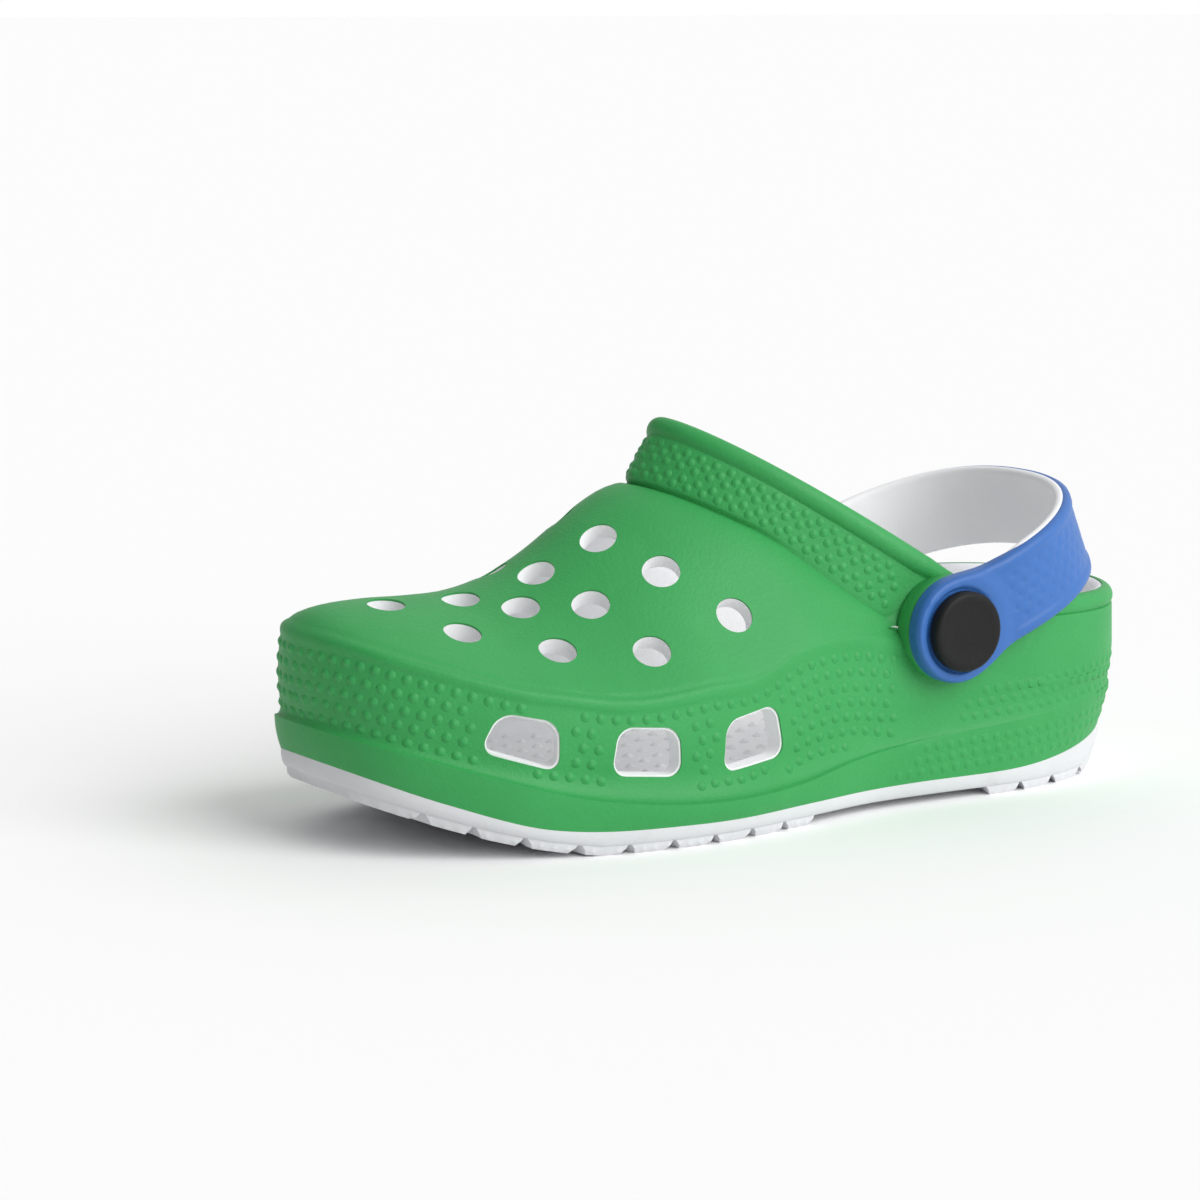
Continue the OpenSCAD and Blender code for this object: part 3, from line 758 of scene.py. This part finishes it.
for row in range(9):
    heights = np.full(len(stationAngles), nubs["heelTop"] - nubs["heelRowStep"] * row) + heelTilt
    line, directions = levelLine(heights, 0, marks["band"] + 3)
    p, n = walkAlong(line, directions, nubs["heelPitch"], 0.5 * (row % 2))
    offFold = np.abs(p[:, 2] - alongTable(ledgeLine, p[:, 1])) > 0.7
    aboveSole = p[:, 2] > alongTable(soleLine, p[:, 1]) + 1.4
    keep = (p[:, 1] > 26 + (p[:, 2] - 8) * 19 / 14) & aboveSole & offFold
    heelNubs.append((p[keep], n[keep]))
parts = []
for label, found, radius, height in (("bandNubs", bandNubs, nubs["radius"], nubs["height"]),
                                     ("collarNubs", collarNubs, nubs["collarRadius"], nubs["collarHeight"]),
                                     ("heelNubs", heelNubs, nubs["heelRadius"], nubs["heelHeight"])):
    places, normals = (np.concatenate(half) for half in zip(*found))
    parts.append(nubField(label, places, normals, radius, height))
print("nubs", [len(part.data.polygons) for part in parts])
upperNubs = joinPieces("upperNubs", parts)
finishPiece(upperNubs, "root", "upper_colour", greenFoam)

# Flat round pads that the strap's lobes turn on
parts = []
for x, side in ((pivot["lateralFace"], 1), (pivot["medialFace"], -1)):
    bpy.ops.mesh.primitive_cylinder_add(
        vertices=96, radius=(pivot["bossRadius"] - 0.4) * mm, depth=4 * mm,
        location=inFrame(x - 2 * side, pivot["y"], pivot["z"]), rotation=(0, math.pi / 2, 0))
    pad = bpy.context.object
    settle(pad)
    selectOnly(pad)
    bevel = pad.modifiers.new("edge", "BEVEL")
    bevel.width, bevel.segments, bevel.angle_limit = 0.5 * mm, 3, math.radians(50)
    bpy.ops.object.modifier_apply(modifier=bevel.name)
    parts.append(pad)
strapPads = joinPieces("strapPads", parts)
padBores = joinPieces("padBores", boreCutter(3.0))
cutWith(strapPads, padBores)
discard(padBores)
finishPiece(strapPads, "root", "upper_colour", greenFoam)
print("pads")

# Footbed
footbed = dict(overlap=0.3, nubPitch=6.2, nubRadius=1.5, nubHeight=0.8)


def ringAt(angle, offset):
    p = outlinePoint(angle)
    return p + inwardFrom(p) * np.broadcast_to(offset, angle.shape)[..., None]


def towardMiddle(p, amount):
    return mix(p, centrePoint(p), amount)


insetAll = alongTable(wallInset, outlinePoint(stationAngles)[:, 1])
edge = ringAt(stationAngles, insetAll + upper["wall"] - footbed["overlap"])


def bedPoint(amount):
    q = towardMiddle(edge, amount)
    climb = 2.4 * np.clip(1 - amount / 0.2, 0, 1) ** 2
    return withZ(q, alongTable(footbedLine, q[:, 1]) + climb)


def soleTop(t):
    q = towardMiddle(edge, t)
    return withZ(q, alongTable(soleLine, q[:, 1]) + 0.02)


rows = [soleTop(t) for t in (1, 0.7, 0.4, 0.15, 0)]
rows += [bedPoint(t) for t in list(np.linspace(0, 0.2, 7)) + list(np.linspace(0.25, 1, 14))]
footbedPad = sheetPiece("footbedPad", rows)
places = []
for k, y in enumerate(np.arange(-94, 96, footbed["nubPitch"] * 0.866)):
    for x in np.arange(-60, 60, footbed["nubPitch"]) + (k % 2) * footbed["nubPitch"] / 2:
        side = alongTable(lateralSide if x > -2 else medialSide, np.array(y))
        sine = math.sqrt(max(1 - (y / halfLength) ** 2, 0))
        if abs(x - middleX(y)) < sine * side - 11:
            places.append([x, y, float(alongTable(footbedLine, np.array(y)))])
bedNubs = nubField("bedNubs", places, [[0, 0, 1]] * len(places), footbed["nubRadius"],
                   footbed["nubHeight"], 10)
footbedPad = joinPieces("footbedPad", [footbedPad, bedNubs])
finishPiece(footbedPad, "root", "inner_foam", whiteFoam, "footbed")
print("footbed", len(places))

# Outsole
sole = dict(slab=1.9, barLength=9.4, barPitch=9.6, barWave=0.9, barTaper=0.62, barWidth=120,
            barHeight=2.75, edgeNicks=0.8, zones=[(-93.0, 6.0), (50.0, 93.0)])
soleAngles = np.arange(0, 360.1, 0.5)
soleY = outlinePoint(soleAngles)[:, 1]
footRing, treadRing = ringAt(soleAngles, 2.4), ringAt(soleAngles, 2.3)


def soleSheet(table, lift, ring, amounts):
    points = [towardMiddle(ring, t) for t in amounts]
    return [withZ(p, alongTable(table, p[:, 1]) + lift) for p in points]


baseZ, footZ = alongTable(soleLine, soleY), alongTable(treadLine, footRing[:, 1]) + sole["slab"]
rows = soleSheet(treadLine, sole["slab"], footRing, (1, 0.75, 0.5, 0.25, 0.08, 0))
for t in (0.92, 0.8, 0.6, 0.4, 0.2, 0.0):  # side of the slab, from its foot up to the upper
    rows.append(withZ(ringAt(soleAngles, 1.2 + 1.0 * t ** 3), mix(baseZ, footZ, t)))
rows += soleSheet(soleLine, 0, ringAt(soleAngles, 1.2), (0.1, 0.4, 0.7, 1))
soleSlab = sheetPiece("soleSlab", rows)
nick = sole["edgeNicks"] * np.abs(np.sin(soleY * math.pi / 2.6))
rows = soleSheet(treadLine, 0, treadRing, (1, 0.75, 0.5, 0.25, 0.1, 0.02))
rows.append(withZ(treadRing, alongTable(treadLine, treadRing[:, 1]) + 0.5 + nick))
rows += soleSheet(treadLine, sole["slab"] + 0.4, treadRing, (0, 0.25, 0.5, 0.75, 1))
treadVolume = sheetPiece("treadVolume", rows)
bars = []
barStarts = [y for low, high in sole["zones"]
             for y in np.arange(low, high - sole["barLength"], sole["barPitch"])]
for start in barStarts:
    bpy.ops.mesh.primitive_grid_add(x_subdivisions=48, y_subdivisions=1, size=1)
    bar = bpy.context.object
    bpy.ops.object.mode_set(mode="EDIT")
    bpy.ops.mesh.select_all(action="SELECT")
    bpy.ops.mesh.extrude_region_move(TRANSFORM_OT_translate={"value": (0, 0, 1)})
    bpy.ops.object.mode_set(mode="OBJECT")
    faceOutward(bar)
    co = np.array([list(v.co) for v in bar.data.vertices])
    x = co[:, 0] * sole["barWidth"]
    wave = sole["barWave"] * np.sin(x / 9 * math.pi)
    width = np.where(co[:, 2] < 0.5, sole["barTaper"], 1.0) * sole["barLength"]
    along = start + sole["barLength"] / 2 + co[:, 1] * width + wave
    z = alongTable(treadLine, along) - 0.4 + co[:, 2] * sole["barHeight"]
    setPoints(bar, np.stack([x, along, z], -1))
    bars.append(bar)
tread = joinPieces("treadBars", bars)
cutWith(tread, treadVolume, "INTERSECT")
discard(treadVolume)
treadSole = joinPieces("treadSole", [soleSlab, tread])
finishPiece(treadSole, "root", "sole", whiteTread, "outsole")
print("outsole", len(treadSole.data.polygons))

# Strap
strap = dict(reach=51.0, straight=16.0, power=2.3, slope=22.0, halfWidth=9.4, coreThick=2.2, coverThick=0.9,
             lobe=11.5, trim=0.32, edgeRound=1.0, ringLift=0.55, ribLift=0.3, recess=0.12,
             dimpleDepth=0.28, dimplePitch=3.5, dimpleRow=2.3, dimpleRadius=0.62, step=0.45)
legLateral = pivot["lateralFace"] + pivot["turnGap"]
legMedial = pivot["medialFace"] - pivot["turnGap"]


def strapLine():
    middle = (legLateral + legMedial) / 2
    wide = (legLateral - legMedial) / 2
    power = 2 / strap["power"]
    lead = [[legLateral, y] for y in np.linspace(-strap["lobe"], strap["straight"], 60)[:-1]]
    turn = np.radians(np.linspace(0, 180, 721))
    deep = strap["reach"] - 3.2 - strap["straight"]  # its own thickness makes up the rest
    arc = np.stack([middle + wide * np.sign(np.cos(turn)) * np.abs(np.cos(turn)) ** power,
                    strap["straight"] + deep * np.maximum(np.sin(turn), 0) ** power], -1)
    back = [[legMedial, y] for y in np.linspace(strap["straight"], -strap["lobe"], 60)[1:]]
    line = np.concatenate([lead, arc, back])
    lengths = np.concatenate([[0], np.cumsum(np.linalg.norm(np.diff(line, axis=0), axis=-1))])
    return line, lengths


def strapSheet(name, low, high, halfWidth, lobe, rounding, relief, slim=0.0):
    line, lengths = strapLine()
    total = lengths[-1]
    trimmed = strap["lobe"] - lobe
    inner = np.arange(4.0, total - 2 * trimmed - 4.0, strap["step"])
    ends = lobe * (1 - np.cos(np.radians(np.linspace(0, 50, 18))))
    stops = trimmed + np.concatenate([ends, inner[inner > ends[-1]][:-1], total - 2 * trimmed - ends[::-1]])
    x, y = np.interp(stops, lengths, line[:, 0]), np.interp(stops, lengths, line[:, 1])
    tangent = unit(np.stack([np.gradient(x, stops), np.gradient(y, stops)], -1))
    legEnd = strap["lobe"] + strap["straight"] - 1
    flatLeg = (stops < legEnd) | (stops > total - legEnd)
    outward = np.stack([tangent[:, 1], -tangent[:, 0]], -1)
    sideSign = np.where(stops < total / 2, 1.0, -1.0)
    outward[flatLeg] = np.stack([sideSign, np.zeros_like(sideSign)], -1)[flatLeg]
    fromCap = np.minimum(stops, total - stops) - strap["lobe"]  # distance past the pivot along the strap
    disc = np.sqrt(np.maximum(lobe ** 2 - np.minimum(fromCap, lobe) ** 2, 0))
    neck = halfWidth + (lobe - halfWidth) * (1 - ease(0, 13, fromCap))
    half = np.where(fromCap < 0, disc, np.maximum(np.where(fromCap < lobe, disc, 0), neck))
    half = half - slim * ease(-lobe, 0, fromCap) * (1 - ease(12, 24, fromCap))
    columns = np.linspace(-1, 1, int(2 * halfWidth / strap["step"]) + 1)[1:-1]
    edgeFan = np.array([0.0, 0.06, 0.2, 0.45, 0.8])  # extra columns close to each edge, in millimetres
    columnCount = len(columns) + 2 * len(edgeFan)

    def across(halfNow):
        if halfNow <= 1.2:
            return np.linspace(-halfNow, halfNow, columnCount)
        return np.concatenate([-(halfNow - edgeFan), columns * (halfNow - 1.0), (halfNow - edgeFan)[::-1]])

    top, bottom = [], []
    for k in range(len(stops)):
        halfNow = max(half[k], 0.02)
        w = across(halfNow)
        fromEdge = halfNow - np.abs(w)
        if fromCap[k] < 0:
            fromEdge = np.minimum(fromEdge, lobe - np.hypot(w, fromCap[k]))
        drop = rounding - np.sqrt(np.maximum(rounding ** 2 - np.maximum(rounding - fromEdge, 0) ** 2, 0))
        lift = relief(fromCap[k], w, halfNow, np.maximum(fromEdge, 0), stops[k]) if relief else 0
        base = np.array([x[k], y[k]])
        if relief:  # the cover folds over the edge of the lining, deepest round the lobe
            lip = mix(0.3, 1.7, ease(10, 24, fromCap[k]))
            under = mix(lip, low, ease(0.55, 0.8, fromEdge))
        else:
            under = low + drop
        for store, height in ((top, high + lift - drop), (bottom, under)):
            plan = base + outward[k] * np.broadcast_to(height, w.shape)[:, None]
            store.append(np.stack([plan[:, 0], plan[:, 1], w], -1))
    sheet = np.concatenate([np.array(top), np.array(bottom)[:, ::-1], np.array(top)[:, :1]], 1)
    turn = math.radians(strap["slope"])
    yy = sheet[..., 1] * math.cos(turn) - sheet[..., 2] * math.sin(turn)
    zz = sheet[..., 1] * math.sin(turn) + sheet[..., 2] * math.cos(turn)
    points = np.stack([sheet[..., 0], yy + pivot["y"], zz + pivot["z"]], -1)
    piece = sheetPiece(name, points)
    faceOutward(piece, closeEnds=True)
    return piece


def coverRelief(fromCap, w, half, fromEdge, stop):
    radial = np.hypot(fromCap, w)
    ringLift = strap["ringLift"] * ease(8.7, 9.3, radial) * (1 - ease(10.5, 15, radial))
    ringLift = ringLift * ease(-0.2, 0.7, fromEdge)
    rib = strap["ribLift"] * ease(0.3, 1.0, fromEdge) * (1 - ease(2.2, 2.9, fromEdge)) * ease(11, 16, fromCap)
    recess = -strap["recess"] * (1 - ease(8.5, 9.1, radial))  # under the rivet's cap
    u = stop / strap["dimplePitch"]
    v = w / strap["dimpleRow"]
    row = np.round(v)
    du = (u - 0.5 * (row % 2)) - np.round(u - 0.5 * (row % 2))
    dv = v - row
    near = np.hypot(du * strap["dimplePitch"], dv * strap["dimpleRow"])
    fade = ease(12, 15, fromCap) * (1 - 0.75 * ease(20, 60, fromCap)) * (half - np.abs(w) > 3.4)
    dimple = -strap["dimpleDepth"] * np.exp(-(near / strap["dimpleRadius"]) ** 2) * fade
    return np.maximum(ringLift, rib) + recess + dimple


strapLining = strapSheet("strapLining", 0.0, strap["coreThick"], strap["halfWidth"], strap["lobe"] - 1.1,
                         1.0, None, 1.0)
strapFace = strapSheet("strapFace", strap["coreThick"] + 0.01, strap["coreThick"] + strap["coverThick"],
                       strap["halfWidth"] - strap["trim"], strap["lobe"] - strap["trim"],
                       strap["edgeRound"], coverRelief)
for piece in (strapLining, strapFace):
    bores = joinPieces("strapBores", boreCutter(3.05))
    cutWith(piece, bores)
    discard(bores)
finishPiece(strapFace, "strap", "strap_colour", blueStrap, "strap_cover")
finishPiece(strapLining, "strap", "inner_foam", whiteFoam, "strap_core")
print("strap", len(strapFace.data.polygons))

# Rivets
rivet = dict(capRadius=8.4, capThick=3.0, edge=1.1, post=3.0, tip=2.2, tipLength=1.2, innerGap=7.6,
             backRadius=6.5, backThick=1.6, seat=3.5)


def turned(name, profile, side, face):
    turn = np.radians(np.linspace(0, 360, 97))
    rows = []
    for radius, height in profile:
        rows.append(np.stack([np.full(len(turn), face + side * height), pivot["y"] + radius * np.cos(turn),
                              pivot["z"] + radius * np.sin(turn)], -1))
    return sheetPiece(name, rows, 50)


def roundOver(radius, height, size, first, last, count=7):
    return [(radius - size + size * math.cos(a), height - size + size * math.sin(a))
            for a in np.radians(np.linspace(first, last, count))]


top = rivet["seat"] + rivet["capThick"]
tipEnd = -rivet["innerGap"] - rivet["tipLength"]
capProfile = [(0.0, tipEnd), (1.9, tipEnd), (rivet["tip"], tipEnd + 0.3), (rivet["tip"], -rivet["innerGap"]),
              (rivet["post"], -rivet["innerGap"]), (rivet["post"], rivet["seat"]),
              (rivet["capRadius"] - 0.6, rivet["seat"]), (rivet["capRadius"], rivet["seat"] + 0.5)]
capProfile += roundOver(rivet["capRadius"], top, rivet["edge"], 0, 90)
capProfile += [(6.2, top + 0.03), (5.9, top - 0.02), (3.0, top + 0.01), (0.0, top + 0.02)]
base = -rivet["innerGap"] - rivet["backThick"]
backProfile = [(0.0, base), (rivet["backRadius"] - 1.6, base), (rivet["backRadius"] - 0.7, base + 0.12),
               (rivet["backRadius"] - 0.2, base + 0.45), (rivet["backRadius"], base + 0.9),
               (rivet["backRadius"], base + 1.45), (rivet["backRadius"] - 0.15, base + rivet["backThick"]),
               (rivet["tip"], base + rivet["backThick"]), (rivet["tip"], base + 0.4), (0.0, base + 0.4)]
for face, side, label in ((pivot["lateralFace"], 1, "Lateral"), (pivot["medialFace"], -1, "Medial")):
    button = turned("rivetButton" + label, capProfile, side, face)
    finishPiece(button, "root", "rivet", blackButton, "rivet_button_" + label.lower())
    disc = turned("rivetDisc" + label, backProfile, side, face)
    finishPiece(disc, "root", "rivet", blackButton, "rivet_back_" + label.lower())
print("rivets")

# Floor, light and camera
bpy.ops.mesh.primitive_plane_add(size=60, location=(0, 0, 0))
floor = bpy.context.object
floor.name = "studioFloor"
settle(floor)
floorMaterial = bpy.data.materials.new("palePaper")
floorMaterial.use_nodes = True
floorShader = floorMaterial.node_tree.nodes["Principled BSDF"]
floorShader.inputs["Base Color"].default_value = (0.98, 0.98, 0.98, 1)
floorShader.inputs["Roughness"].default_value = 0.95
floorShader.inputs["Specular IOR Level"].default_value = 0.0
floor.data.materials.append(floorMaterial)

studio = dict(skyStrength=0.92, darkSide=0.14, sunStrength=2.15, sunSpread=50, sunFrom=(0.95, 0.3, 0.66),
              cameraPlace=(0.654090, -0.437486, 0.166738), azimuth=58, elevation=9, lens=114)
world = bpy.data.worlds.new("studio")
bpy.context.scene.world = world
world.use_nodes = True
worldNodes = world.node_tree
sky = worldNodes.nodes["Background"]
skyPlace = addNode(worldNodes, "ShaderNodeTexCoord")
skySplit = addNode(worldNodes, "ShaderNodeSeparateXYZ")
skyShade = addNode(worldNodes, "ShaderNodeMapRange", {"From Min": -0.9, "From Max": 0.5,
                                                      "To Min": studio["darkSide"], "To Max": 1.0})
link = worldNodes.links.new
link(skyPlace.outputs["Generated"], skySplit.inputs["Vector"])
link(skySplit.outputs["Y"], skyShade.inputs["Value"])
link(skyShade.outputs[0], sky.inputs["Color"])
sky.inputs["Strength"].default_value = studio["skyStrength"]
backdrop = addNode(worldNodes, "ShaderNodeBackground", {"Color": (1, 1, 1, 1), "Strength": 1.0})
cameraRay = addNode(worldNodes, "ShaderNodeLightPath")
blend = addNode(worldNodes, "ShaderNodeMixShader")
link(cameraRay.outputs["Is Camera Ray"], blend.inputs["Fac"])
link(sky.outputs["Background"], blend.inputs[1])
link(backdrop.outputs["Background"], blend.inputs[2])
link(blend.outputs["Shader"], worldNodes.nodes["World Output"].inputs["Surface"])
bpy.ops.object.light_add(type="SUN", location=(0.8, 0.3, 0.8))
keyLight = bpy.context.object
keyLight.name = "keyLight"
keyLight.data.energy, keyLight.data.angle = studio["sunStrength"], math.radians(studio["sunSpread"])
keyLight.rotation_euler = (-Vector(studio["sunFrom"])).to_track_quat("-Z", "Y").to_euler()

bpy.ops.object.camera_add(location=studio["cameraPlace"])
camera = bpy.context.object
azimuth, elevation = math.radians(studio["azimuth"]), math.radians(studio["elevation"])
back = Vector((math.sin(azimuth) * math.cos(elevation), -math.cos(azimuth) * math.cos(elevation),
               math.sin(elevation)))
camera.rotation_mode = "QUATERNION"
camera.rotation_quaternion = (-back).to_track_quat("-Z", "Y")
camera.data.lens = studio["lens"]
bpy.context.scene.camera = camera
bpy.context.scene.view_settings.view_transform = "Standard"
print("stage set")
